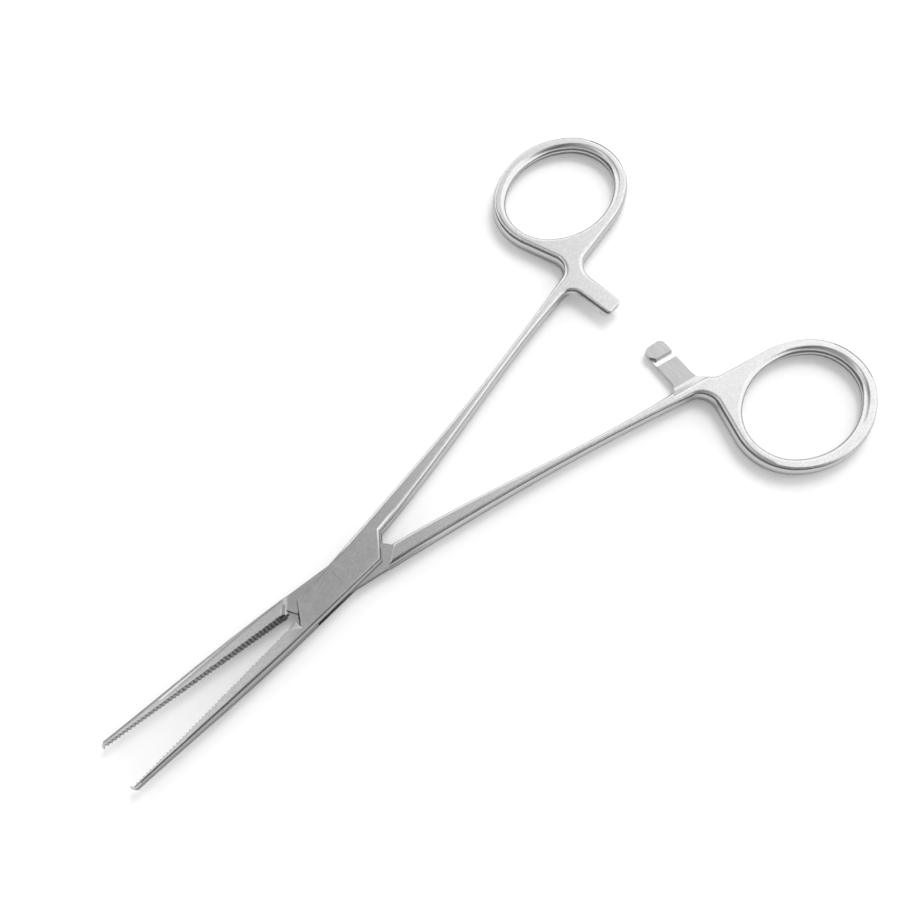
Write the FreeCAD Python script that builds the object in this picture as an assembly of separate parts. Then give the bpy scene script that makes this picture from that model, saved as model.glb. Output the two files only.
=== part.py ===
import FreeCAD, Part
import math
import os

# Straight ring-handled box-lock haemostatic forceps, sizes in millimetres.
# Each half is drawn closed, about its own mid plane, with the lock pin on the
# Z axis, the jaw towards +X and the ring towards -X and -Y.  The web half is
# the box half's forging turned over, with its middle thinned to pass through
# the box.  Both halves are then opened and lifted to rest on the ground plane.

# Opening between the jaws at rest, in degrees
OPEN_ANGLE = 10.5

# Box lock, corners of the slotted plates
BOX_THICKNESS = 4.4
BOX_JAW_END_X = 11.0
BOX_JAW_END_Y = 1.0
BOX_JAW_CORNER_X = 8.3
BOX_JAW_CORNER_Y = -2.75
BOX_SHANK_END_X = -11.9
BOX_SHANK_END_Y = -0.55
BOX_SHANK_CORNER_X = -8.0
BOX_SHANK_CORNER_Y = 3.6
BOX_OUTER_Y = -3.2

# Web through the box, and the pin
WEB_THICKNESS = 1.5
WEB_FACE_CLEARANCE = 0.05
SLOT_END_GAP = 0.35
SHANK_SHOULDER_GAP = 0.85
JAW_SHOULDER_GAP = 1.25
SHOULDER_BEVEL = 0.5
PIN_DIAMETER = 3.0
PIN_RUNNING_CLEARANCE = 0.03

# Jaws
JAW_LENGTH = 49.7
JAW_ROOT_WIDTH = 2.7
JAW_TIP_WIDTH = 0.72
JAW_TIP_THICKNESS = 1.8
JAW_ROOT_BOW = 0.38
JAW_TIP_GAP = 0.03
JAW_BACK_BEVEL = 0.62
JAW_FACE_BEVEL = 0.1
JAW_BELLY = 1.7
JAW_STATIONS = 7
SERRATION_PITCH = 0.76
SERRATION_DEPTH = 0.26
SERRATION_START = 12.6

# Toothed tips, one tooth entering between two
TIP_REACH = 0.65
TIP_CROSSING = 0.42
TIP_TOOTH_WIDTH = 0.46
TIP_TOOTH_CLEARANCE = 0.07

# Shanks, edges as distances from the closed centre line
SHANK_ROOT_X = -18.0
SHANK_ROOT_OUTER = 4.5
SHANK_ROOT_INNER = 1.1
SHANK_MID_X = -42.0
SHANK_MID_OUTER = 6.65
SHANK_MID_INNER = 4.45
SHANK_END_X = -66.0
SHANK_END_OUTER = 9.85
SHANK_END_INNER = 7.8
SHANK_ROOT_THICKNESS = 4.34
SHANK_MID_THICKNESS = 3.6
SHANK_END_THICKNESS = 3.34

# Barrelled side walls, as a bevel that leaves a crisp edge to the flat top
SIDE_BEVEL_WIDTH = 0.45
SIDE_BEVEL_HEIGHT = 1.05

# Finger rings
RING_CENTRE_X = -93.8
RING_CENTRE_Y = -25.9
RING_HOLE_LENGTH = 26.3
RING_HOLE_WIDTH = 21.0
RING_BAND = 2.85
RING_THICKNESS = 3.3
RING_TILT = -3.3
RING_END_FULLNESS = 1.07
RING_HOLE_BULGE = 0.8
NECK_X = -80.9
NECK_Y = -12.3
NECK_ROUND = 3.4
NECK_RING_Y = -10.8
NECK_RING_ROUND = 4.4
NECK_SHANK_X = -80.0
NECK_SHANK_Y = -8.7

# Ratchet arms
RATCHET_JAW_SIDE_X = -76.8
RATCHET_RING_SIDE_X = -81.6
RATCHET_BOX_HALF_REACH = 1.3
RATCHET_WEB_HALF_REACH = 2.45
RATCHET_TIP_ROUND = 1.3
RATCHET_ROOT_ROUND = 2.3
RATCHET_ARM_THICKNESS = 1.2
RATCHET_TOOTH_HEIGHT = 0.38
RATCHET_TOOTH_LENGTH = 3.1
RATCHET_TOOTH_RAKE = 0.15
RATCHET_NICK_WIDTH = 1.1
RATCHET_NICK_LENGTH = 1.3
RATCHET_VALLEY_DEPTH = 0.3
RATCHET_RAMP_LENGTH = 1.3
RATCHET_STEP_Y = -7.9
RATCHET_STEP_SLOPE = 0.95
RATCHET_SLANT = 0.1

HALF_BOX = BOX_THICKNESS / 2
HALF_WEB = WEB_THICKNESS / 2
HALF_RING = RING_THICKNESS / 2
HALF_OPEN = OPEN_ANGLE / 2
ORIGIN = FreeCAD.Vector(0, 0, 0)
UP = FreeCAD.Vector(0, 0, 1)


def vec(x, y, z=0.0):
    return FreeCAD.Vector(x, y, z)


def prism(points, z0, z1):
    loop = [vec(x, y, z0) for x, y in points]
    face = Part.Face(Part.makePolygon(loop + [loop[0]]))
    return face.extrude(vec(0, 0, z1 - z0))


def spline(points):
    curve = Part.BSplineCurve()
    curve.interpolate(points)
    return curve.toShape()


def line(a, b):
    return Part.makeLine(a, b)


def oval_arcs():
    # The finger hole's four arcs: centre, radius, first and last angle
    a = RING_HOLE_LENGTH / 2
    b = RING_HOLE_WIDTH / 2
    end = RING_END_FULLNESS * b * b / a
    side = ((a - end) ** 2 + b * b - end * end) / (2 * (b - end))
    turn = math.degrees(math.atan2(side - b, a - end))
    return [(a - end, 0, end, -turn, turn),
            (0, b - side, side, turn, 180 - turn),
            (end - a, 0, end, 180 - turn, 180 + turn),
            (0, side - b, side, 180 + turn, 360 - turn)]


def place_on_ring(shape):
    shape.rotate(ORIGIN, UP, RING_TILT)
    shape.translate(vec(RING_CENTRE_X, RING_CENTRE_Y))
    return shape


def oval(grow, z0, z1):
    edges = []
    for cx, cy, radius, first, last in oval_arcs():
        circle = Part.Circle(vec(cx, cy, z0), UP, radius + grow)
        arc = Part.ArcOfCircle(circle, math.radians(first), math.radians(last))
        edges.append(arc.toShape())
    disc = Part.Face(Part.Wire(edges)).extrude(vec(0, 0, z1 - z0))
    return place_on_ring(disc)


def finger_hole():
    # Hole with walls that swell inwards, its section turned about each arc's centre
    core = -RING_BAND
    tools = [oval(core + RING_HOLE_BULGE, -BOX_THICKNESS, BOX_THICKNESS)]
    for cx, cy, radius, first, last in oval_arcs():
        low = vec(cx + radius + RING_HOLE_BULGE, cy, -HALF_RING)
        high = vec(cx + radius + RING_HOLE_BULGE, cy, HALF_RING)
        swell = Part.Arc(low, vec(cx + radius, cy, 0), high).toShape()
        up = vec(0, 0, BOX_THICKNESS)
        inner = vec(cx + radius + core, cy, 0)
        ends = [low, low - up, inner - up, inner + up, high + up, high]
        edges = [swell] + [line(ends[i], ends[i + 1]) for i in range(5)]
        face = Part.Face(Part.Wire(Part.__sortEdges__(edges)))
        face.rotate(vec(cx, cy), UP, first)
        tools.append(place_on_ring(face.revolve(vec(cx, cy), UP, last - first)))
    return tools


def oval_touch(x, y, side):
    # Where a straight line from a neck corner touches the ring's outside
    tilt = math.radians(RING_TILT)
    dx = x - RING_CENTRE_X
    dy = y - RING_CENTRE_Y
    u = dx * math.cos(tilt) + dy * math.sin(tilt)
    v = dy * math.cos(tilt) - dx * math.sin(tilt)
    for cx, cy, radius, first, last in oval_arcs():
        reach = radius + RING_BAND
        away = math.hypot(u - cx, v - cy)
        if away <= reach:
            continue
        turn = math.degrees(math.atan2(v - cy, u - cx) + side * math.acos(reach / away))
        if (turn - first) % 360 <= last - first:
            tx = cx + reach * math.cos(math.radians(turn))
            ty = cy + reach * math.sin(math.radians(turn))
            return (RING_CENTRE_X + tx * math.cos(tilt) - ty * math.sin(tilt),
                    RING_CENTRE_Y + tx * math.sin(tilt) + ty * math.cos(tilt))


def upright_edges(shape, x, y):
    # Edges along Z that stand within a millimetre or so of a place
    found = []
    for edge in shape.Edges:
        box = edge.BoundBox
        upright = box.XLength < 0.01 and box.YLength < 0.01 and box.ZLength > 1
        if upright and math.hypot(box.Center.x - x, box.Center.y - y) < 0.8:
            found.append(edge)
    return found


def flat_normal(face, point):
    u, v = face.Surface.parameter(point)
    return face.normalAt(u, v)


def rim_edges(shape):
    # Edges where an upright side meets the top
    found = []
    for edge in shape.Edges:
        middle = edge.valueAt((edge.FirstParameter + edge.LastParameter) / 2)
        faces = shape.ancestorsOfType(edge, Part.Face)
        if len(faces) != 2:
            continue
        tilts = sorted(flat_normal(f, middle).z for f in faces)
        if abs(tilts[0]) < 0.1 and tilts[1] > 0.9:
            found.append(edge)
    return found


# Handle blank

def shank_outline():
    outer = [vec(BOX_JAW_CORNER_X, BOX_JAW_CORNER_Y), vec(0, BOX_OUTER_Y)]
    outer.append(vec(SHANK_ROOT_X, -SHANK_ROOT_OUTER))
    outer.append(vec(SHANK_MID_X, -SHANK_MID_OUTER))
    outer.append(vec(SHANK_END_X, -SHANK_END_OUTER))
    outer.append(vec(NECK_X, NECK_Y))
    inner = [vec(BOX_SHANK_END_X, BOX_SHANK_END_Y)]
    inner.append(vec(SHANK_ROOT_X, -SHANK_ROOT_INNER))
    inner.append(vec(SHANK_MID_X, -SHANK_MID_INNER))
    inner.append(vec(SHANK_END_X, -SHANK_END_INNER))
    inner.append(vec(NECK_SHANK_X, NECK_SHANK_Y))
    plate_corner = vec(BOX_SHANK_CORNER_X, BOX_SHANK_CORNER_Y)
    jaw_back = vec(BOX_JAW_END_X, JAW_ROOT_BOW + JAW_ROOT_WIDTH)
    jaw_front = vec(BOX_JAW_END_X, BOX_JAW_END_Y)
    edges = [spline(outer), line(outer[-1], inner[-1]), spline(inner)]
    edges.append(line(inner[0], plate_corner))
    edges.append(line(plate_corner, jaw_back))
    edges.append(line(jaw_back, jaw_front))
    edges.append(line(jaw_front, outer[0]))
    return Part.Face(Part.Wire(Part.__sortEdges__(edges)))


def side_view():
    # Upper half of the handle's thickness, from the box back to the ring
    far = 2 * RING_CENTRE_X
    heights = [(BOX_JAW_END_X + 1, HALF_BOX), (0, HALF_BOX)]
    heights.append((BOX_SHANK_END_X, SHANK_ROOT_THICKNESS / 2))
    heights.append((SHANK_MID_X, SHANK_MID_THICKNESS / 2))
    heights.append((SHANK_END_X, SHANK_END_THICKNESS / 2))
    heights.append((RING_CENTRE_X, HALF_RING))
    heights.append((far, HALF_RING))
    over = [vec(x, 0, z) for x, z in heights]
    corners = [over[-1], vec(far, 0, -1), vec(over[0].x, 0, -1), over[0]]
    edges = [spline(over)] + [line(corners[i], corners[i + 1]) for i in range(3)]
    solid = Part.Face(Part.Wire(Part.__sortEdges__(edges))).extrude(vec(0, -far, 0))
    solid.translate(vec(0, far / 2, 0))
    return solid


def handle(reach):
    # The upper half is shaped and bevelled, then mirrored in the mid plane
    blank = shank_outline().extrude(vec(0, 0, BOX_THICKNESS))
    neck = (NECK_X, NECK_Y)
    neck_ring = (RATCHET_RING_SIDE_X, NECK_RING_Y)
    low = oval_touch(NECK_X, NECK_Y, -1)
    high = oval_touch(RATCHET_RING_SIDE_X, NECK_RING_Y, 1)
    web = [neck, low, (RING_CENTRE_X, RING_CENTRE_Y), high, neck_ring]
    beyond = reach + BOX_THICKNESS
    arm = [(RATCHET_JAW_SIDE_X, beyond), (RATCHET_JAW_SIDE_X, NECK_RING_Y), neck, neck_ring]
    arm.append((RATCHET_RING_SIDE_X, beyond))
    blank = blank.fuse([oval(RING_BAND, 0, BOX_THICKNESS), prism(web, 0, BOX_THICKNESS),
                        prism(arm, 0, BOX_THICKNESS)]).removeSplitter()
    rounds = [(NECK_X, NECK_Y, NECK_ROUND),
              (RATCHET_RING_SIDE_X, NECK_RING_Y, NECK_RING_ROUND),
              (RATCHET_JAW_SIDE_X, NECK_SHANK_Y, RATCHET_ROOT_ROUND)]
    for x, y, radius in rounds:
        blank = blank.makeFillet(radius, upright_edges(blank, x, y))
    blank = blank.common(side_view()).Solids[0]
    rims = [e for e in rim_edges(blank) if e.BoundBox.Center.x < BOX_JAW_END_X - 0.1]
    blank = blank.makeChamfer(SIDE_BEVEL_HEIGHT, SIDE_BEVEL_WIDTH, rims)
    blank = blank.fuse(blank.mirror(ORIGIN, UP)).removeSplitter()
    return blank.cut(finger_hole()).cut(arm_end(reach)).cut(ratchet_cut(reach))


def arm_end(reach):
    # What lies beyond the arm's square end with its two rounded corners
    middle = (RATCHET_JAW_SIDE_X + RATCHET_RING_SIDE_X) / 2
    width = RATCHET_JAW_SIDE_X - RATCHET_RING_SIDE_X
    length = reach - NECK_RING_Y
    beyond = Part.makeBox(2 * width, length, 2 * BOX_THICKNESS,
                          vec(middle - width, reach - RATCHET_TIP_ROUND, -BOX_THICKNESS))
    arm = Part.makeBox(width, length, 2 * BOX_THICKNESS,
                       vec(RATCHET_RING_SIDE_X, NECK_RING_Y, -BOX_THICKNESS))
    for x in (RATCHET_JAW_SIDE_X, RATCHET_RING_SIDE_X):
        arm = arm.makeFillet(RATCHET_TIP_ROUND, upright_edges(arm, x, reach))
    return beyond.cut(arm)


def ratchet_cut(reach):
    # Everything below the arm, leaving the hooked tooth at its end
    arm = HALF_RING - RATCHET_ARM_THICKNESS
    tooth = arm - RATCHET_TOOTH_HEIGHT
    valley = arm + RATCHET_VALLEY_DEPTH
    back = reach - RATCHET_TOOTH_LENGTH
    foot = back - RATCHET_TOOTH_RAKE
    low = -BOX_THICKNESS
    side = [(reach + 1, low), (reach + 1, tooth), (back, tooth), (foot, valley)]
    side.append((foot - RATCHET_RAMP_LENGTH, arm))
    side.append((RATCHET_STEP_Y, arm))
    side.append((RATCHET_STEP_Y - RATCHET_STEP_SLOPE * (arm - low), low))
    width = RATCHET_JAW_SIDE_X - RATCHET_RING_SIDE_X
    across = vec(width, RATCHET_SLANT * width)
    start = vec(RATCHET_JAW_SIDE_X - width / 2, 0) - across
    loop = [start + vec(0, y, z) for y, z in side]
    below = Part.Face(Part.makePolygon(loop + [loop[0]])).extrude(across * 2)
    nick = [(RATCHET_JAW_SIDE_X - RATCHET_NICK_WIDTH, back)]
    nick.append((RATCHET_JAW_SIDE_X + RATCHET_NICK_WIDTH, back))
    nick.append((RATCHET_JAW_SIDE_X + RATCHET_NICK_WIDTH, back + 2 * RATCHET_NICK_LENGTH))
    return below.fuse(prism(nick, low, valley))


# Jaw

def jaw_run(x):
    return (x - BOX_JAW_END_X) / (JAW_LENGTH - BOX_JAW_END_X)


def jaw_face(x):
    # Mean gripping face over the closed line, bowed away towards the box
    return JAW_ROOT_BOW + (JAW_TIP_GAP - JAW_ROOT_BOW) * jaw_run(x)


def jaw_back(x):
    run = jaw_run(x)
    width = JAW_ROOT_WIDTH + (JAW_TIP_WIDTH - JAW_ROOT_WIDTH) * run
    return jaw_face(x) + width + JAW_BELLY * run * (1 - run) ** 2


def jaw_half_height(x):
    tip = JAW_TIP_THICKNESS / 2
    return tip + (HALF_BOX - tip) * (1 - jaw_run(x)) ** 1.5


def jaw_section(x):
    front = jaw_face(x) - SERRATION_DEPTH / 2
    back = jaw_back(x)
    top = jaw_half_height(x)
    grown = SIDE_BEVEL_WIDTH + (JAW_BACK_BEVEL - SIDE_BEVEL_WIDTH) * min(1.0, 3 * jaw_run(x))
    inset = min(grown, 0.6 * (back - front))
    drop = SIDE_BEVEL_HEIGHT * top / HALF_BOX
    bevel = JAW_FACE_BEVEL
    corners = [vec(x, front, bevel - top), vec(x, front, top - bevel)]
    corners.append(vec(x, front + bevel, top))
    corners.append(vec(x, back - inset, top))
    corners.append(vec(x, back, top - drop))
    corners.append(vec(x, back, drop - top))
    corners.append(vec(x, back - inset, -top))
    corners.append(vec(x, front + bevel, -top))
    return Part.makePolygon(corners + [corners[0]])


def serration_cut(phase):
    # V grooves across the face; one half has ridges where the other has valleys
    low = -BOX_THICKNESS
    outline = [(SERRATION_START, low)]
    count = int((JAW_LENGTH - SERRATION_START) / SERRATION_PITCH * 2) + 2
    for step in range(count + 1):
        x = SERRATION_START + step * SERRATION_PITCH / 2
        up = 0.5 if (step + phase) % 2 else -0.5
        outline.append((x, jaw_face(x) + up * SERRATION_DEPTH))
    outline.append((outline[-1][0], low))
    return prism(outline, -HALF_BOX, HALF_BOX)


def tip_tooth(z0, z1):
    start = JAW_LENGTH - 1.2
    end = JAW_LENGTH + TIP_REACH
    back = jaw_back(JAW_LENGTH)
    outline = [(start, jaw_face(start) + SERRATION_DEPTH)]
    outline.append((start, jaw_back(start) - 0.1))
    outline.append((JAW_LENGTH, back - 0.05))
    outline.append((JAW_LENGTH + 0.55 * TIP_REACH, 0.7 * back))
    outline.append((end - 0.08 * TIP_REACH, 0.35 * back))
    outline.append((end, -0.55 * TIP_CROSSING))
    outline.append((end - 0.25 * TIP_REACH, -TIP_CROSSING))
    outline.append((JAW_LENGTH + 0.3 * TIP_REACH, -0.02))
    outline.append((JAW_LENGTH, jaw_face(JAW_LENGTH) + SERRATION_DEPTH / 2))
    return prism(outline, z0, z1)


def jaw(phase, two_teeth):
    step = (JAW_LENGTH - BOX_JAW_END_X) / (JAW_STATIONS - 1)
    wires = [jaw_section(BOX_JAW_END_X + i * step) for i in range(JAW_STATIONS)]
    body = Part.makeLoft(wires, True, False).cut(serration_cut(phase))
    inner = TIP_TOOTH_WIDTH / 2
    if two_teeth:
        near = inner + TIP_TOOTH_CLEARANCE
        far = JAW_TIP_THICKNESS / 2 - JAW_FACE_BEVEL
        teeth = [tip_tooth(near, far), tip_tooth(-far, -near)]
    else:
        teeth = [tip_tooth(-inner, inner)]
    return body.fuse(teeth)


# Box lock

def end_line(x0, y0, x1, y1, gap):
    # Long line through two plate corners of the other half, pushed outwards
    ax = x0
    ay = -y0
    dx = x1 - x0
    dy = y0 - y1
    length = math.hypot(dx, dy)
    dx = dx / length
    dy = dy / length
    nx = -dy
    ny = dx
    if nx * ax + ny * ay < 0:
        nx = -nx
        ny = -ny
    ax = ax + nx * gap
    ay = ay + ny * gap
    reach = BOX_THICKNESS * 2
    return [(ax - dx * reach, ay - dy * reach), (ax + dx * reach, ay + dy * reach)]


def lock_zone(shank_gap, jaw_gap):
    # Plan of the part of a half that lies inside or beside the other half
    back = end_line(BOX_SHANK_END_X, BOX_SHANK_END_Y, BOX_SHANK_CORNER_X,
                    BOX_SHANK_CORNER_Y, shank_gap)
    front = end_line(BOX_JAW_END_X, BOX_JAW_END_Y, BOX_JAW_CORNER_X,
                     BOX_JAW_CORNER_Y, jaw_gap)
    back.sort(key=lambda p: p[1])
    front.sort(key=lambda p: p[1])
    return [back[0], front[0], front[1], back[1]]


def pin_shape(radius):
    pin = Part.makeCylinder(radius, BOX_THICKNESS, vec(0, 0, -HALF_BOX))
    return pin


def box_half():
    half_slot = HALF_WEB + WEB_FACE_CLEARANCE
    body = handle(RATCHET_BOX_HALF_REACH).fuse(jaw(0, True))
    slot = prism(lock_zone(SLOT_END_GAP, SLOT_END_GAP), -half_slot, half_slot)
    return body.cut(slot).cut(pin_shape(PIN_DIAMETER / 2)).removeSplitter()


def web_half():
    body = handle(RATCHET_WEB_HALF_REACH).fuse(jaw(1, False))
    zone = lock_zone(SHANK_SHOULDER_GAP, JAW_SHOULDER_GAP)
    wide = lock_zone(SHANK_SHOULDER_GAP + SHOULDER_BEVEL, JAW_SHOULDER_GAP + SHOULDER_BEVEL)
    high = HALF_BOX + 0.1
    level = high - SHOULDER_BEVEL - 0.1
    for sign in (1, -1):
        low_loop = [vec(x, y, sign * level) for x, y in zone]
        high_loop = [vec(x, y, sign * high) for x, y in wide]
        wires = [Part.makePolygon(loop + [loop[0]]) for loop in (low_loop, high_loop)]
        body = body.cut(Part.makeLoft(wires, True, True))
        body = body.cut(prism(zone, sign * HALF_WEB, sign * level))
    bore = Part.makeCylinder(PIN_DIAMETER / 2 + PIN_RUNNING_CLEARANCE, 2 * BOX_THICKNESS,
                             vec(0, 0, -BOX_THICKNESS))
    body = body.cut(bore).removeSplitter()
    body.rotate(ORIGIN, FreeCAD.Vector(1, 0, 0), 180)
    return body


def only_solid(shape):
    return max(shape.Solids, key=lambda s: s.Volume)


def settle(shape, angle):
    shape.rotate(ORIGIN, UP, angle)
    shape.translate(vec(0, 0, HALF_BOX))
    return shape


# Write the files

os.makedirs("parts", exist_ok=True)
nodes = {}
nodes["box_half"] = settle(only_solid(box_half()), HALF_OPEN)
nodes["web_half"] = settle(only_solid(web_half()), -HALF_OPEN)
nodes["lock_pin"] = settle(pin_shape(PIN_DIAMETER / 2), HALF_OPEN)
for name, shape in nodes.items():
    shape.exportStep("parts/" + name + ".step")
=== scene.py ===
# %% [markdown]
# # A pair of ring-handled clamping forceps
#
# Everything solid here was machined or forged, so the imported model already
# holds the right shapes: two halves that cross in a box lock, and the pin.
# What is left for this script is what makes steel look like steel: how the
# side walls swell, where the maker polished and where the finish is satin,
# the fine grain of the finish, and a studio for all of it to reflect.

# %% Load the frame
import math

import bpy
import bmesh
import numpy as np
from mathutils import Matrix, Vector


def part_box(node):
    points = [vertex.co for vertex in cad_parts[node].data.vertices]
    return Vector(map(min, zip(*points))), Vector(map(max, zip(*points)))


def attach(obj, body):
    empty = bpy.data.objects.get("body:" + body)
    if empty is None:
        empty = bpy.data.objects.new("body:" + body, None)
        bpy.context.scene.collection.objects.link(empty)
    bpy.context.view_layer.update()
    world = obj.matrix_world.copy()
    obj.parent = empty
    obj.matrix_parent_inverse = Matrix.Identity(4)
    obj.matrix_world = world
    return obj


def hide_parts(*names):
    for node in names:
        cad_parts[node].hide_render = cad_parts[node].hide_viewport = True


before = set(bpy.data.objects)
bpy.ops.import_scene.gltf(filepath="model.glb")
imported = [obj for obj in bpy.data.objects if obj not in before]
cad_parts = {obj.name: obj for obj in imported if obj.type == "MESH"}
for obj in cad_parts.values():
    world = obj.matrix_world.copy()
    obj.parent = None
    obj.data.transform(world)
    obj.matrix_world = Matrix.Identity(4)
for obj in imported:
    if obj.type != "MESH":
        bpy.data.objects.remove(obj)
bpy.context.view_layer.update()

scene = bpy.context.scene
MM = 0.001
TINY = 1e-9
print("nodes:", sorted(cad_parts))

# %% [markdown]
# ## Where things are
#
# The frame gives the sizes of the lock. The pin stands on the Z axis, the
# mid plane of both halves is half the box's height up, and the halves lie at
# equal angles either side of the X axis. One half is the other's forging
# turned over, so each is read in its own closed frame: jaw towards +X, the
# gripping face along y = 0 and the ring towards -Y. Rules about places are
# then written once and hold for both halves.

# %% Places of the lock, the ring and the jaw
pin_low, pin_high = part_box("lock_pin")
MID_Z = (pin_low.z + pin_high.z) / 2
BOX_TOP = pin_high.z
PIN_RADIUS = (pin_high.x - pin_low.x) / 2
HALF_OPENING = math.radians(5.25)
HALF_TURN = {"box_half": -HALF_OPENING, "web_half": HALF_OPENING}
FLIP = {"box_half": 1.0, "web_half": -1.0}
RING_CENTRE = (-93.8 * MM, -25.9 * MM)
HOLE_REACH = 15.2 * MM
JAW_FROM = 12.4 * MM
print(f"mid plane at {MID_Z / MM:.2f} mm, box top at {BOX_TOP / MM:.2f} mm")


def closed_frame(vectors, node, direction=False):
    """Points or directions of a half, turned about Z by its HALF_TURN into its closed
    frame. The web half is also turned over about X, which changes the signs of y and z."""
    c, s = math.cos(HALF_TURN[node]), math.sin(HALF_TURN[node])
    x = vectors[:, 0] * c - vectors[:, 1] * s
    y = vectors[:, 0] * s + vectors[:, 1] * c
    z = vectors[:, 2] if direction else vectors[:, 2] - MID_Z
    return np.stack([x, y * FLIP[node], z * FLIP[node]], 1)


def open_frame(ways, node):
    """Directions in a half's closed frame, turned back into the scene."""
    c, s = math.cos(HALF_TURN[node]), math.sin(HALF_TURN[node])
    y = ways[:, 1] * FLIP[node]
    return np.stack([ways[:, 0] * c + y * s, y * c - ways[:, 0] * s,
                     ways[:, 2] * FLIP[node]], 1)


# %% [markdown]
# ## Softened rims
#
# The outer flats lost their crisp rims on the polishing wheel. A bevel
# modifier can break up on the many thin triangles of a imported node, so a
# narrow strip is set in along every rim of those flats instead. It is wider
# on the outside of the finger ring and narrower along the jaw. The shape
# stays flat there: further down, the strip's outer side gets normals that
# lean towards the wall, and the light does the rest.

# %% How wide the strips are
STRIP_WIDTH = 0.42 * MM
RING_STRIP = 1.9
RING_FROM, RING_FULL = 25 * MM, 20 * MM
JAW_END, JAW_STRIP_OVER, JAW_STRIP_LEAST = 50 * MM, 32 * MM, 0.3


def strip_width(place):
    """STRIP_WIDTH times two factors. Outside the finger hole, one grows from 1 to
    RING_STRIP between RING_FROM and RING_FULL from the ring's centre. The other is the
    distance to JAW_END over JAW_STRIP_OVER, held between JAW_STRIP_LEAST and 1."""
    away = math.hypot(place[0] - RING_CENTRE[0], place[1] - RING_CENTRE[1])
    near = min(1.0, max(0.0, (RING_FROM - away) / (RING_FROM - RING_FULL)))
    on_ring = 1 + (RING_STRIP - 1) * near if away > HOLE_REACH else 1
    on_jaw = min(1.0, max(JAW_STRIP_LEAST, (JAW_END - place[0]) / JAW_STRIP_OVER))
    return STRIP_WIDTH * on_ring * on_jaw


# %% [markdown]
# Which way a strip runs in from its rim comes from the walls that meet the
# rim. The pin's hole gets none, because the pin is ground flush with the
# flat, and the gripping face gets none, because its ridges are crisp.

# %% The outer flats and the sides of their walls
FLAT_ABOVE = 0.9
OUTER_SURFACE = 1.2 * MM
PIN_CLEAR = 3 * MM
GRIP_CLEAR = 0.5 * MM
PLACE_DIGITS = 7


def outer_flats(mesh, node):
    """Faces that look up or down, further than OUTER_SURFACE from the mid plane."""
    faces = list(mesh.faces)
    centres = closed_frame(np.array([face.calc_center_median() for face in faces]), node)
    return {face for face, centre in zip(faces, centres)
            if abs(face.normal.z) > FLAT_ABOVE and abs(centre[2]) > OUTER_SURFACE}


def sides_of_walls(flats, node):
    """The summed level directions of the walls round each vertex of the flats, scaled to
    length 1 and kept under the vertex's place. Zero where there is to be no strip."""
    outward = {}
    for face in flats:
        for vertex in face.verts:
            side = Vector((0.0, 0.0, 0.0))
            for other in vertex.link_faces:
                if other not in flats and abs(other.normal.z) < FLAT_ABOVE:
                    side += Vector((other.normal.x, other.normal.y, 0.0))
            place = closed_frame(np.array([vertex.co]), node)[0]
            gripping = place[0] > JAW_FROM and place[1] < GRIP_CLEAR
            if vertex.co.xy.length < PIN_CLEAR or gripping:
                side.zero()
            outward[vertex.co.to_tuple(PLACE_DIGITS)] = side.normalized()
    return outward


# %% Setting the strips in
WELD = 0.002 * MM
STRIP = 1
FIRST_INSET = STRIP_WIDTH / 4


def set_in_rims(mesh, node):
    """Every rim vertex gets a twin inside the flat: the rim's place less the side of its
    walls times the strip's width. The faces between the two are marked as strips."""
    bmesh.ops.dissolve_degenerate(mesh, dist=WELD, edges=mesh.edges[:])
    mesh.normal_update()
    mark = mesh.faces.layers.int.new("strip")
    flats = outer_flats(mesh, node)
    outward = sides_of_walls(flats, node)
    strips = bmesh.ops.inset_region(mesh, faces=list(flats), thickness=FIRST_INSET,
                                    use_even_offset=False, use_boundary=True)["faces"]
    for face in strips:
        face[mark] = STRIP
        for edge in face.edges:
            rim, twin = edge.verts
            if twin.co.to_tuple(PLACE_DIGITS) in outward:
                rim, twin = twin, rim
            side = outward.get(rim.co.to_tuple(PLACE_DIGITS))
            if side is not None and twin.co.to_tuple(PLACE_DIGITS) not in outward:
                place = closed_frame(np.array([rim.co]), node)[0]
                twin.co = rim.co - side * strip_width(place)
    print(node, "strip faces:", len(strips))
    bmesh.ops.dissolve_degenerate(mesh, dist=WELD, edges=mesh.edges[:])
    mesh.normal_update()


# %% [markdown]
# ## A skin for each half
#
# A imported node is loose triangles. Joined by distance they become one closed
# shell, whose faces can then be told apart by where they lie and which way
# they look. The halves could be drawn again, but the lock's fits are right in
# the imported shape, so the skin keeps it and takes its place in the picture.

# %% Joining a node's triangles
def welded_copy(node, name):
    """A new object with the node's shape. Vertices nearer than WELD are joined, and the
    packed normals and sharp marks go, because the skin gets its own."""
    mesh = bmesh.new()
    mesh.from_mesh(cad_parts[node].data)
    bmesh.ops.remove_doubles(mesh, verts=mesh.verts, dist=WELD)
    set_in_rims(mesh, node)
    data = bpy.data.meshes.new(name)
    mesh.to_mesh(data)
    mesh.free()
    for extra in ("custom_normal", "sharp_edge", "sharp_face"):
        if extra in data.attributes:
            data.attributes.remove(data.attributes[extra])
    skin = bpy.data.objects.new(name, data)
    scene.collection.objects.link(skin)
    return skin


# %% [markdown]
# The next steps look at thousands of faces and corners. Each property of the
# mesh is read into one array, and a rule then works on all of them at once.
# A loop over the faces would say the same, and be slow.

# %% Reading a mesh into arrays
def read(collection, name, width, kind=np.float32):
    """One value of every item, as an array with width numbers for each."""
    values = np.zeros(len(collection) * width, kind)
    collection.foreach_get(name, values)
    return values.reshape(-1, width) if width > 1 else values


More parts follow.
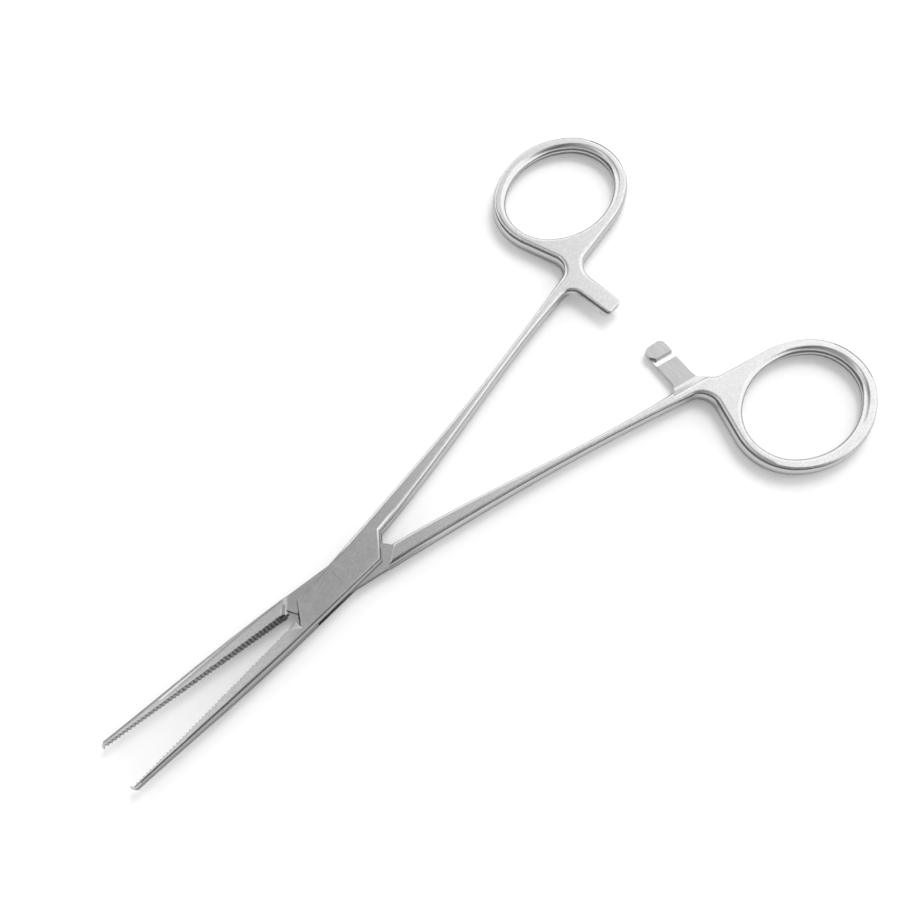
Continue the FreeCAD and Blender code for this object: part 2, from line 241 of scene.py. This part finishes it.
def mesh_arrays(data):
    """Points, the vertex and face of each corner, and the faces' normals, centres, areas."""
    points = read(data.vertices, "co", 3).astype(float)
    corner_vertex = read(data.loops, "vertex_index", 1, np.int32)
    sizes = read(data.polygons, "loop_total", 1, np.int32)
    corner_face = np.repeat(np.arange(len(sizes)), sizes)
    normals = read(data.polygons, "normal", 3).astype(float)
    centres = read(data.polygons, "center", 3).astype(float)
    areas = read(data.polygons, "area", 1).astype(float)
    return points, corner_vertex, corner_face, normals, centres, areas


# %% [markdown]
# ## Which face is what
#
# Flats face up or down. Walls face sideways: a polishing belt has rounded
# them into barrels. The finger hole, the jaws' cross serrations, the edges
# round the lock and the stepped side of each ratchet arm have finishes of
# their own. The areas could be picked by hand. Rules about where a face lies
# and which way it looks pick them on both halves at once.

# %% Kinds of face
FLAT, WALL, HOLE, TEETH, EDGE, STEP, SLOPE, PAINTED_DARK_WALL, PAINTED_SHADE_FLANK, PAINTED_DARK_BEVEL = range(10)
WALL_BELOW = 0.56
HOLE_INWARD = 0.2
GRIP_FACING, GRIP_TILT, FLANK_FACING = 0.3, 0.5, 0.2
BEVEL_FACING = 0.5
LOCK_REACH, SHOULDER_FACING = 20 * MM, 0.3
ARM_X = (-81.8 * MM, -76.6 * MM)
ARM_FROM_Y = -9.9 * MM
ARM_SURFACE, ARM_FACING = 0.9 * MM, 0.5
RAMP_OVER, RAMP_BELOW = 0.93, 0.995


def kinds_of(node, normals, centres):
    """The kind of each face. Tilt is how far a face looks up or down: over FLAT_ABOVE it
    is a flat, under WALL_BELOW a wall, else an edge. Places then give the other kinds."""
    place = closed_frame(centres, node)
    way = closed_frame(normals, node, direction=True)
    tilt = np.abs(way[:, 2])
    kind = np.where(tilt > FLAT_ABOVE, FLAT, np.where(tilt < WALL_BELOW, WALL, EDGE))

    to_ring = np.stack([RING_CENTRE[0] - place[:, 0], RING_CENTRE[1] - place[:, 1]], 1)
    away = np.hypot(to_ring[:, 0], to_ring[:, 1])
    inward = (way[:, :2] * to_ring).sum(1) / np.maximum(away, TINY)
    kind[(away < HOLE_REACH) & (inward > HOLE_INWARD) & (tilt < FLAT_ABOVE)] = HOLE

    on_jaw = place[:, 0] > JAW_FROM
    kind[on_jaw & (kind == EDGE) & (np.abs(way[:, 0]) < BEVEL_FACING)] = WALL
    grip = on_jaw & (way[:, 1] < -GRIP_FACING) & (tilt < GRIP_TILT)
    kind[grip] = TEETH
    # Flanks that face the jaw's tip get a painted shade: a near-black tone stands in for the
    # shadow the ridges cast on each other.
    kind[grip & (way[:, 0] > FLANK_FACING)] = PAINTED_SHADE_FLANK

    to_lock = way[:, 0] * np.sign(place[:, 0]) < -SHOULDER_FACING
    shoulder = (np.abs(place[:, 0]) < LOCK_REACH) & to_lock
    kind[shoulder & (kind == WALL)] = EDGE

    on_arm = (place[:, 0] > ARM_X[0]) & (place[:, 0] < ARM_X[1]) & (place[:, 1] > ARM_FROM_Y)
    cut = on_arm & (way[:, 2] < -ARM_FACING) & (np.abs(place[:, 2]) < ARM_SURFACE)
    kind[cut] = STEP
    kind[cut & (tilt > RAMP_OVER) & (tilt < RAMP_BELOW)] = EDGE
    kind[cut & (tilt < FLAT_ABOVE)] = SLOPE
    return kind


# %% [markdown]
# The shanks and rings were polished all round. The sides of the lock and the
# jaws get a painted dark reflection: a lower tone stands in for the darker room
# they mirror. Their normals are barrelled like those of any wall, so this is
# settled after the normals are.

# %% Walls and bevels of the lock and the jaws, with a painted dark reflection
PAINTED_DARK_FROM = -13 * MM
UPRIGHT = 0.2


def with_painted_dark_sides(kind, node, normals, centres):
    """Walls further towards the jaw than a set place along the half get a painted dark
    reflection, a lower tone: as walls where they stand upright, as bevels where they lean."""
    lock_and_jaw = closed_frame(centres, node)[:, 0] > PAINTED_DARK_FROM
    upright = np.abs(normals[:, 2]) < UPRIGHT
    return np.where((kind == WALL) & lock_and_jaw, np.where(upright, PAINTED_DARK_WALL, PAINTED_DARK_BEVEL), kind)


# %% [markdown]
# ## Normals across the facets
#
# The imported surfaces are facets. Smooth shading alone would melt the flats
# into the walls, so the normal of each corner is worked out here: facets of
# one kind share theirs, and facets of two kinds never do.

# %% Smooth normals, kept apart between kinds
SMOOTH_WITHIN = math.cos(math.radians(32))
LEAST_AREA = 1e-12


def smooth_normals(points, corner_vertex, corner_face, normals, areas, kind):
    """Each corner's normal: the area-weighted mean of the faces of its own kind
    round its vertex that turn less than a set angle from the corner's own face."""
    order = np.argsort(corner_vertex, kind="stable")
    starts = np.searchsorted(corner_vertex[order], np.arange(len(points)))
    ends = np.append(starts[1:], len(order))
    most = int((ends - starts).max())
    own = normals[corner_face]
    total = np.zeros_like(own)
    for step in range(most):
        place = starts[corner_vertex] + step
        inside = place < ends[corner_vertex]
        other = corner_face[order[np.minimum(place, len(order) - 1)]]
        close = inside & ((normals[other] * own).sum(1) > SMOOTH_WITHIN)
        close &= kind[other] == kind[corner_face]
        total += normals[other] * (areas[other] * close)[:, None]
    length = np.linalg.norm(total, axis=1, keepdims=True)
    return np.where(length > 0, total / np.maximum(length, LEAST_AREA), own)


# %% [markdown]
# ## Barrelled walls
#
# The height of a point on a wall decides how far its normal leans: level at
# the mid plane, leaning most at the edge of the flat. Turning the normals
# this way lets a wall of three plain strips mirror one smooth sweep of the
# room, which is what shows the eye that it was finished on a belt.

# %% Normals that follow the barrel
WALL_LEAN, WALL_CURVE = math.radians(50), 1.5
HOLE_LEAN, HOLE_CURVE = math.radians(66), 0.6
SLOPE_EASE = 0.25
THICK_OVER = 0.8 * MM
HEIGHT_STEP = 2 * MM
SIDEWAYS = 0.2


def half_heights(place):
    """Places along a half in steps, and the greatest height over the mid plane at each."""
    thick = np.abs(place[:, 2]) > THICK_OVER
    along = np.round(place[thick, 0] / HEIGHT_STEP).astype(int)
    steps = np.unique(along)
    tops = np.array([np.abs(place[thick, 2][along == step]).max() for step in steps])
    return steps * HEIGHT_STEP, tops


def barrel(place, way, kind):
    """A wall's normal keeps its level direction and leans up or down by WALL_LEAN times
    the relative height to the power WALL_CURVE, and a finger hole's likewise. A slope's
    level part is scaled by SLOPE_EASE. The other normals stay as they are."""
    steps, tops = half_heights(place)
    top = np.interp(place[:, 0], steps, tops)
    reach = np.clip(place[:, 2] / top, -1, 1)
    side = np.hypot(way[:, 0], way[:, 1])
    level = way[:, :2] / np.maximum(side, TINY)[:, None]
    lean = np.sign(reach) * np.where(kind == HOLE, np.abs(reach) ** HOLE_CURVE * HOLE_LEAN,
                                     np.abs(reach) ** WALL_CURVE * WALL_LEAN)
    rounded = np.stack([level[:, 0] * np.cos(lean), level[:, 1] * np.cos(lean),
                        np.sin(lean)], 1)
    use = ((kind == WALL) | (kind == HOLE)) & (side > SIDEWAYS)
    eased = way * [SLOPE_EASE, SLOPE_EASE, 1]
    eased /= np.linalg.norm(eased, axis=1, keepdims=True)
    return np.where(use[:, None], rounded, np.where((kind == SLOPE)[:, None], eased, way))


# %% [markdown]
# On the strips, the corners at the rim lean towards the wall and the corners
# inside the flat look straight up, so the light rolls over between them. The
# lean is small round the lock, where the rims were left sharper.

# %% Normals that roll over the rims
RIM_PLACES = [-10.1 * MM, -9.3 * MM, 15 * MM, 45 * MM]
RIM_LEANS = np.radians([32, 9, 9, 26])
HOLE_RIM_LEAN = math.radians(24)
SIDES_AGREE = 0.1


def lean_rims(bent, kind, strip, corner_vertex, corner_face, points, along):
    """A strip's corner that meets walls gets the normal of the flat, leaned towards the
    summed side of those walls by an angle that depends on the place along the half."""
    walls = np.isin(kind[corner_face], (WALL, HOLE))
    sides = np.zeros((len(points), 2))
    np.add.at(sides, corner_vertex[walls], bent[walls, :2])
    sides[np.hypot(points[:, 0], points[:, 1]) < PIN_CLEAR] = 0
    length = np.hypot(sides[:, 0], sides[:, 1])
    sides /= np.maximum(length, TINY)[:, None]
    rim = (strip[corner_face] == STRIP) & (kind[corner_face] == FLAT)
    rim &= length[corner_vertex] > SIDES_AGREE
    lean = np.interp(along, RIM_PLACES, RIM_LEANS)
    lean[corner_vertex[kind[corner_face] == HOLE]] = HOLE_RIM_LEAN
    lean = lean[corner_vertex]
    side = sides[corner_vertex] * np.sin(lean)[:, None]
    leaning = np.stack([side[:, 0], side[:, 1], np.sign(bent[:, 2]) * np.cos(lean)], 1)
    return np.where(rim[:, None], leaning, bent)


# %% [markdown]
# Both halves now go through the same steps: a welded skin, the kinds of its
# faces, smooth normals, barrels and rims. Blender takes the normals as custom
# ones, so they change the shading and leave the shape alone.

# %% Both skins
skins = {}
for node in ("box_half", "web_half"):
    skin = welded_copy(node, node + "_skin")
    data = skin.data
    points, corner_vertex, corner_face, normals, centres, areas = mesh_arrays(data)
    kind = kinds_of(node, normals, centres)
    smooth = smooth_normals(points, corner_vertex, corner_face, normals, areas, kind)
    places = closed_frame(points, node)
    bent = barrel(places[corner_vertex], closed_frame(smooth, node, direction=True),
                  kind[corner_face])
    strip = read(data.attributes["strip"].data, "value", 1, np.int32)
    bent = lean_rims(bent, kind, strip, corner_vertex, corner_face, points, places[:, 0])
    kind = with_painted_dark_sides(kind, node, normals, centres)
    data.polygons.foreach_set("use_smooth", np.ones(len(data.polygons), bool))
    data.normals_split_custom_set(open_frame(bent, node))
    skins[node] = (skin, kind)
    print(node, "skin:", len(points), "vertices, faces of each kind:", np.bincount(kind))

# %% [markdown]
# ## The pin
#
# The lock pin was ground off flush with the box, so only a hair line shows
# where it ends. It is turned here from its outline, with a tiny bevel that
# catches that line. A cylinder with a bevel modifier would do as well. The
# outline is plainer, because it is also how a lathe makes a pin.

# %% A lathed pin
PIN_SIDES = 96
PIN_BEVEL = 0.04 * MM


def lathe(name, outline, sides):
    """A closed solid of revolution. The grid's point in row i and column j is the
    outline's radius and height number i, turned about Z by j / sides of a full turn.
    A point on the axis at either end closes it with a fan of triangles."""
    radii, heights = np.array(outline).T
    angle = np.arange(sides) * 2 * math.pi / sides
    x = np.cos(angle) * radii[:, None]
    y = np.sin(angle) * radii[:, None]
    z = np.repeat(heights, sides).reshape(x.shape)
    grid = np.stack([x, y, z], 2).reshape(-1, 3)
    points = np.vstack([[0, 0, heights[0]], grid, [0, 0, heights[-1]]])
    here = np.arange(sides)
    after = (here + 1) % sides
    low = 1 + sides * np.arange(len(radii) - 1)[:, None]
    high = low + sides
    walls = np.stack([low + here, low + after, high + after, high + here], 2).reshape(-1, 4)
    top = 1 + sides * (len(radii) - 1)
    under = np.stack([np.zeros(sides, int), 1 + after, 1 + here], 1)
    over = np.stack([np.full(sides, len(points) - 1), top + here, top + after], 1)
    data = bpy.data.meshes.new(name)
    data.from_pydata(points.tolist(), [], under.tolist() + walls.tolist() + over.tolist())
    made = bpy.data.objects.new(name, data)
    scene.collection.objects.link(made)
    return made


inner = PIN_RADIUS - PIN_BEVEL
pin_outline = [(inner, pin_low.z), (PIN_RADIUS, pin_low.z + PIN_BEVEL),
               (PIN_RADIUS, BOX_TOP - PIN_BEVEL), (inner, BOX_TOP)]
pin_skin = lathe("lock_pin_skin", pin_outline, PIN_SIDES)
print(f"pin skin: {2 * PIN_RADIUS / MM:.2f} mm across, {len(pin_skin.data.polygons)} faces")

# %% [markdown]
# ## Steel, with several finishes
#
# All of it is the same bare stainless steel, so it is fully metallic, and the
# finishes differ in roughness, tone and grain. The grain is one shared group:
# long streaks along the half, and clouds that vary how dull the steel is.

# %% A shared group: the grinding grain
PLAIN_GRAIN, PLAIN_STRETCH = 5200.0, 0.22
PATCHES = 420.0
STREAK_DETAIL, CLOUD_DETAIL = 2.0, 3.0


def grain_group():
    """Two noises on Object coordinates turned along the half. The streaks' X is scaled by
    Stretch first, which draws them out. Both come out as values from 0 to 1."""
    group = bpy.data.node_groups.new("fine grain", "ShaderNodeTree")
    face = group.interface
    face.new_socket("Turn", in_out="INPUT", socket_type="NodeSocketVector")
    for title, value in (("Grain", PLAIN_GRAIN), ("Stretch", PLAIN_STRETCH),
                         ("Patches", PATCHES)):
        socket = face.new_socket(title, in_out="INPUT", socket_type="NodeSocketFloat")
        socket.default_value = value
    face.new_socket("Streaks", in_out="OUTPUT", socket_type="NodeSocketFloat")
    face.new_socket("Clouds", in_out="OUTPUT", socket_type="NodeSocketFloat")
    nodes, links = group.nodes, group.links
    gate_in = nodes.new("NodeGroupInput")
    gate_out = nodes.new("NodeGroupOutput")

    place = nodes.new("ShaderNodeTexCoord")
    turn = nodes.new("ShaderNodeVectorRotate")
    turn.rotation_type = "EULER_XYZ"
    links.new(place.outputs["Object"], turn.inputs["Vector"])
    links.new(gate_in.outputs["Turn"], turn.inputs["Rotation"])

    squeeze = nodes.new("ShaderNodeCombineXYZ")
    squeeze.inputs["Y"].default_value = 1.0
    squeeze.inputs["Z"].default_value = 1.0
    links.new(gate_in.outputs["Stretch"], squeeze.inputs["X"])
    scaled = nodes.new("ShaderNodeVectorMath")
    scaled.operation = "MULTIPLY"
    links.new(turn.outputs["Vector"], scaled.inputs[0])
    links.new(squeeze.outputs["Vector"], scaled.inputs[1])

    streaks = nodes.new("ShaderNodeTexNoise")
    streaks.inputs["Detail"].default_value = STREAK_DETAIL
    links.new(scaled.outputs["Vector"], streaks.inputs["Vector"])
    links.new(gate_in.outputs["Grain"], streaks.inputs["Scale"])
    links.new(streaks.outputs["Fac"], gate_out.inputs["Streaks"])

    clouds = nodes.new("ShaderNodeTexNoise")
    clouds.inputs["Detail"].default_value = CLOUD_DETAIL
    links.new(turn.outputs["Vector"], clouds.inputs["Vector"])
    links.new(gate_in.outputs["Patches"], clouds.inputs["Scale"])
    links.new(clouds.outputs["Fac"], gate_out.inputs["Clouds"])
    return group


GRAIN = grain_group()
print("group:", GRAIN.name, "with", len(GRAIN.nodes), "nodes")

# %% [markdown]
# A finish is four numbers and a grain: how light the steel is and how far
# the streaks swing that, how rough it is and how far the clouds swing that.
# The flats, the pin and the ratchet's step also get a bump from the streaks,
# too small to see one by one and enough to spread a highlight.

# %% A steel finish from a few values
STREAKS_FROM, STREAKS_TO = 0.3, 0.7


def steel(name, tone, rough, turn, grain, stretch, bump_height):
    """Tone and rough are pairs, a middle value and its swing. Streaks carry the tone and
    the bump, clouds carry the roughness, each from middle less swing to middle plus
    swing."""
    material = bpy.data.materials.new(name)
    material.use_nodes = True
    nodes, links = material.node_tree.nodes, material.node_tree.links
    shader = nodes["Principled BSDF"]
    shader.inputs["Metallic"].default_value = 1.0
    texture = nodes.new("ShaderNodeGroup")
    texture.node_tree = GRAIN
    texture.inputs["Turn"].default_value = (0, 0, turn)
    texture.inputs["Grain"].default_value = grain
    texture.inputs["Stretch"].default_value = stretch

    blend = nodes.new("ShaderNodeMapRange")
    blend.inputs["From Min"].default_value = STREAKS_FROM
    blend.inputs["From Max"].default_value = STREAKS_TO
    blend.inputs["To Min"].default_value = tone[0] - tone[1]
    blend.inputs["To Max"].default_value = tone[0] + tone[1]
    links.new(texture.outputs["Streaks"], blend.inputs["Value"])
    color = nodes.new("ShaderNodeCombineColor")
    for channel in ("Red", "Green", "Blue"):
        links.new(blend.outputs["Result"], color.inputs[channel])
    links.new(color.outputs["Color"], shader.inputs["Base Color"])

    dull = nodes.new("ShaderNodeMapRange")
    dull.inputs["To Min"].default_value = rough[0] - rough[1]
    dull.inputs["To Max"].default_value = rough[0] + rough[1]
    links.new(texture.outputs["Clouds"], dull.inputs["Value"])
    links.new(dull.outputs["Result"], shader.inputs["Roughness"])

    if bump_height > 0:
        bump = nodes.new("ShaderNodeBump")
        bump.inputs["Strength"].default_value = 1.0
        bump.inputs["Distance"].default_value = bump_height
        links.new(texture.outputs["Streaks"], bump.inputs["Height"])
        links.new(bump.outputs["Normal"], shader.inputs["Normal"])
    return material


# %% [markdown]
# Belted walls, finger holes and broken edges are the smoothest. The ratchet's
# step was ground across, so its streaks are turned a quarter. One flank of each
# serration gets a painted shade, a near-black tone for the shadow the ridges
# cast on each other. The walls and bevels of the lock and the jaws get a
# painted dark reflection, a lower tone for dark parts of a real room that this
# studio follows only roughly.

# %% The finishes, and who wears them
PLAIN = (PLAIN_GRAIN, PLAIN_STRETCH, 0.0)
SATIN = (4000.0, 0.45, 0.0003 * MM)
CROSS = (2600.0, 0.10, 0.0004 * MM)
QUARTER = math.pi / 2
FINISHES = {
    FLAT: ("satin flats", (0.62, 0.04), (0.25, 0.08), 0.0, SATIN),
    WALL: ("belted walls", (0.60, 0.015), (0.20, 0.03), 0.0, PLAIN),
    HOLE: ("finger hole", (0.60, 0.015), (0.20, 0.03), 0.0, PLAIN),
    TEETH: ("serrations", (0.48, 0.04), (0.28, 0.05), 0.0, PLAIN),
    EDGE: ("broken edges", (0.80, 0.02), (0.20, 0.03), 0.0, PLAIN),
    STEP: ("cross-ground step", (0.47, 0.035), (0.28, 0.05), QUARTER, CROSS),
    SLOPE: ("ground slope", (0.62, 0.035), (0.26, 0.06), 0.0, PLAIN),
    PAINTED_DARK_WALL: ("ground walls", (0.25, 0.02), (0.22, 0.04), 0.0, PLAIN),
    PAINTED_SHADE_FLANK: ("shaded flanks", (0.08, 0.02), (0.35, 0.05), 0.0, PLAIN),
    PAINTED_DARK_BEVEL: ("ground bevels", (0.42, 0.02), (0.22, 0.04), 0.0, PLAIN),
}
for node, (skin, kind) in skins.items():
    skin.data.materials.clear()
    for number in sorted(FINISHES):
        title, tone, rough, across, grain = FINISHES[number]
        turn = HALF_TURN[node] + across
        skin.data.materials.append(steel(f"{node} {title}", tone, rough, turn, *grain))
    skin.data.polygons.foreach_set("material_index", kind.astype(np.int32))
    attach(skin, node)
    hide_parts(node)
    print(node, "finishes:", len(skin.data.materials))

pin_skin.data.materials.append(steel("ground pin", (0.62, 0.035), (0.25, 0.08), 0.0, *SATIN))
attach(pin_skin, "box_half")
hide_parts("lock_pin")

# %% [markdown]
# ## The table
#
# The instrument lies on a plain white sheet. A little glow, for the camera
# alone, lifts the sheet to the white of the backdrop and leaves the shadows
# on it.

# %% Table
TABLE_SIZE = 2.0
TABLE_WHITE = (0.88, 0.88, 0.885, 1)
TABLE_ROUGHNESS = 0.9
TABLE_GLOW = 0.16


def table():
    """A square in the plane z = 0, TABLE_SIZE wide, with its middle at the origin."""
    half = TABLE_SIZE / 2
    data = bpy.data.meshes.new("table")
    data.from_pydata([(-half, -half, 0), (half, -half, 0), (half, half, 0), (-half, half, 0)],
                     [], [(0, 1, 2, 3)])
    top = bpy.data.objects.new("table", data)
    scene.collection.objects.link(top)
    material = bpy.data.materials.new("white table")
    material.use_nodes = True
    nodes, links = material.node_tree.nodes, material.node_tree.links
    shader = nodes["Principled BSDF"]
    shader.inputs["Base Color"].default_value = TABLE_WHITE
    shader.inputs["Roughness"].default_value = TABLE_ROUGHNESS
    shader.inputs["Specular IOR Level"].default_value = 0.0
    shader.inputs["Emission Color"].default_value = (1, 1, 1, 1)
    path = nodes.new("ShaderNodeLightPath")
    glow = nodes.new("ShaderNodeMath")
    glow.operation = "MULTIPLY"
    glow.inputs[1].default_value = TABLE_GLOW
    links.new(path.outputs["Is Camera Ray"], glow.inputs[0])
    links.new(glow.outputs["Value"], shader.inputs["Emission Strength"])
    data.materials.append(material)


table()
print(f"table: {TABLE_SIZE} m square")

# %% [markdown]
# ## The room that the steel mirrors
#
# Bare metal looks like its surroundings. The camera itself sees plain white
# behind the table, and the steel mirrors a room that is written as rules:
# light overhead, less of it on the camera's side, and a dark band along the
# horizon for the polished walls to pick up. The band is low towards a large
# source and towards a window, and high away from them. A photographed room
# could be wrapped round instead, but rules are smooth and can be changed.

# %% Rules of the room, each a list of (coordinate from -1 to 1, level)
ACROSS = [(-1.0, 1.0), (-0.75, 1.45), (-0.5, 1.55), (-0.4, 1.3), (-0.29, 0.82), (-0.16, 0.60),
          (-0.07, 0.43), (0.01, 0.40), (0.09, 0.76), (0.18, 1.15), (0.3, 1.5), (1.0, 1.2)]
BACKWARDS = [(-1.0, 0.5), (-0.5, 0.6), (-0.4, 0.76), (-0.3, 0.95), (-0.1, 1.0), (1.0, 1.05)]
CAMERA_WAY = (0.7, 0.714, 0.0)
CAMERA_SIDE = [(-1.0, 1.0), (0.04, 1.0), (0.2, 0.35), (1.0, 0.25)]
SOURCE_WAY = (-0.94, 0.34, 0.0)
WINDOW_WAY = (-0.55, -0.83, 0.0)
DARK_UP_TO = [(-1.0, 0.60), (0.3, 0.56), (0.62, 0.14), (1.0, 0.10)]
ABOVE_DARK = [(-1.0, 0.14), (-0.02, 0.18), (0.05, 0.9), (0.10, 1.55), (1.0, 1.55)]
HIGH_FROM, HIGH_TO = 0.62, 0.78
CURVE_TOP = 2.0


# %% The sky, from those rules
def sky():
    """The level in a direction is low + (high - low) * share. High, overhead, is the
    product of the rules across X, along Y and towards the camera. Low, the band, is a
    rule over the height less DARK_UP_TO, which is itself a rule over the greater of the
    directions towards the source and the window. Share rises from 0 to 1 between
    HIGH_FROM and HIGH_TO."""
    world = bpy.data.worlds.new("studio")
    scene.world = world
    world.use_nodes = True
    nodes, links = world.node_tree.nodes, world.node_tree.links
    back = nodes["Background"]
    place = nodes.new("ShaderNodeTexCoord")
    split = nodes.new("ShaderNodeSeparateXYZ")
    links.new(place.outputs["Generated"], split.inputs["Vector"])

    def sums(operation, a, b):
        """A Math node on two values, each a number or the output of another node."""
        node = nodes.new("ShaderNodeMath")
        node.operation = operation
        for socket, value in zip(node.inputs, (a, b)):
            if isinstance(value, float):
                socket.default_value = value
            else:
                links.new(value, socket)
        return node.outputs["Value"]

    def rule(value, stops):
        """Straight lines between the stops. A curve node works from 0 to 1, so the
        coordinate is shifted and halved, and the level is divided by CURVE_TOP."""
        unit = sums("MULTIPLY", sums("ADD", value, 1.0), 0.5)
        ramp = nodes.new("ShaderNodeFloatCurve")
        points = ramp.mapping.curves[0].points
        places = [((where + 1) / 2, level / CURVE_TOP) for where, level in stops]
        points[0].location = places[0]
        points[1].location = places[-1]
        for where, level in places[1:-1]:
            points.new(where, level)
        for point in points:
            point.handle_type = "VECTOR"
        ramp.mapping.update()
        links.new(unit, ramp.inputs["Value"])
        return sums("MULTIPLY", ramp.outputs["Value"], CURVE_TOP)

    def towards(way):
        """The cosine of the angle between the direction looked in and the given way."""
        node = nodes.new("ShaderNodeVectorMath")
        node.operation = "DOT_PRODUCT"
        node.inputs[1].default_value = way
        links.new(place.outputs["Generated"], node.inputs[0])
        return node.outputs["Value"]

    high = sums("MULTIPLY", rule(split.outputs["X"], ACROSS), rule(split.outputs["Y"], BACKWARDS))
    high = sums("MULTIPLY", high, rule(towards(CAMERA_WAY), CAMERA_SIDE))
    dark_to = rule(sums("MAXIMUM", towards(SOURCE_WAY), towards(WINDOW_WAY)), DARK_UP_TO)
    low = rule(sums("SUBTRACT", split.outputs["Z"], dark_to), ABOVE_DARK)
    share = nodes.new("ShaderNodeMapRange")
    share.interpolation_type = "SMOOTHSTEP"
    share.inputs["From Min"].default_value = HIGH_FROM
    share.inputs["From Max"].default_value = HIGH_TO
    links.new(split.outputs["Z"], share.inputs["Value"])
    rest = sums("SUBTRACT", 1.0, share.outputs["Result"])
    level = sums("ADD", sums("MULTIPLY", high, share.outputs["Result"]),
                 sums("MULTIPLY", low, rest))

    path = nodes.new("ShaderNodeLightPath")
    seen = nodes.new("ShaderNodeMix")
    links.new(path.outputs["Is Camera Ray"], seen.inputs["Factor"])
    links.new(level, seen.inputs["A"])
    seen.inputs["B"].default_value = 1.0
    links.new(seen.outputs["Result"], back.inputs["Strength"])
    back.inputs["Color"].default_value = (1, 1, 1, 1)


sky()
print("sky:", len(scene.world.node_tree.nodes), "nodes")

# %% [markdown]
# ## The lamp
#
# The sky alone gives hardly any shadow. A soft round lamp behind the
# instrument draws the shadows on the table. It is hidden from the steel,
# which mirrors the rules of the room and no bright disc.

# %% Lamp
LAMP_PLACE = Vector((-0.5, -0.2, 0.75))
LAMP_AIM = Vector((-0.03, 0, 0))
LAMP_SIZE = 0.4
LAMP_WATTS = 2.4


def soft_lamp(name):
    """A disc at LAMP_PLACE that faces LAMP_AIM."""
    light = bpy.data.lights.new(name, "AREA")
    light.shape = "DISK"
    light.size = LAMP_SIZE
    light.energy = LAMP_WATTS
    lamp = bpy.data.objects.new(name, light)
    lamp.location = LAMP_PLACE
    lamp.rotation_euler = (LAMP_AIM - LAMP_PLACE).to_track_quat("-Z", "Y").to_euler()
    lamp.visible_glossy = False
    scene.collection.objects.link(lamp)


soft_lamp("soft source")
print(f"lamp: {(LAMP_AIM - LAMP_PLACE).length:.2f} m away")

# %% [markdown]
# ## The camera
#
# The photograph looks steeply down with the jaws at the lower left. The
# angles, the distance and the lens were found by fitting the object's known
# points, and the camera is built from those numbers.

# %% Camera
AZIMUTH = math.radians(140.41)
ELEVATION = math.radians(67.62)
ROLL = math.radians(-2.5)
DISTANCE = 194.72 * MM
LENS = 39.64
SENSOR = 36.0
CLIP_START, CLIP_END = 0.01, 20
AIM = Vector((-32.89 * MM, -5.66 * MM, MID_Z))


def photo_camera():
    """Back points from the aim to the camera, at the azimuth and the elevation. Side and
    over are the picture's right and up, turned about it by the roll."""
    back = Vector((math.sin(AZIMUTH) * math.cos(ELEVATION),
                   -math.cos(AZIMUTH) * math.cos(ELEVATION), math.sin(ELEVATION)))
    right = Vector((0, 0, 1)).cross(back).normalized()
    up = back.cross(right)
    side = right * math.cos(ROLL) + up * math.sin(ROLL)
    over = up * math.cos(ROLL) - right * math.sin(ROLL)
    lens = bpy.data.cameras.new("photo camera")
    lens.lens = LENS
    lens.sensor_width = SENSOR
    lens.clip_start = CLIP_START
    lens.clip_end = CLIP_END
    camera = bpy.data.objects.new("photo camera", lens)
    turn = Matrix((side, over, back)).transposed().to_4x4()
    camera.matrix_world = Matrix.Translation(AIM + back * DISTANCE) @ turn
    scene.collection.objects.link(camera)
    scene.camera = camera


photo_camera()
print("camera at", [round(value / MM, 1) for value in scene.camera.matrix_world.translation])
scene.view_settings.view_transform = "Standard"
